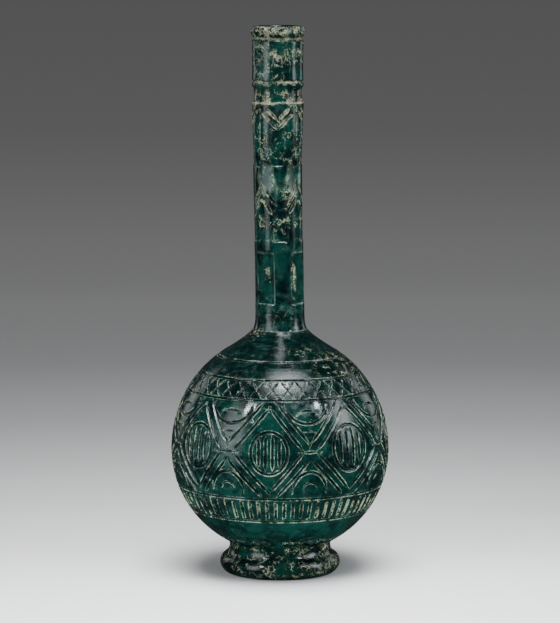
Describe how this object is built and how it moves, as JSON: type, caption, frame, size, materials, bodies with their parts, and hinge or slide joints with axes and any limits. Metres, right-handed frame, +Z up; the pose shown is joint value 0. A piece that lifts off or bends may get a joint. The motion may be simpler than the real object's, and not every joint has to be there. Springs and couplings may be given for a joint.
{
  "type": "long-necked bottle",
  "caption": "Free-standing long-necked bottle of dark green cut glass: round globe on a foot ring, tall faceted neck, hollow and open at the lip.",
  "frame": {"origin": "centre of the foot ring, on the surface the bottle stands on", "axes": "+Z up along the bottle; the side the picture shows faces -Y"},
  "size_m": [0.096, 0.096, 0.2401],
  "materials": {
    "green_glass": "glossy dark green glass, cream weathering in the cuts"
  },
  "bodies": {
    "root": {"bottle": "green_glass"}
  },
  "joints": []
}
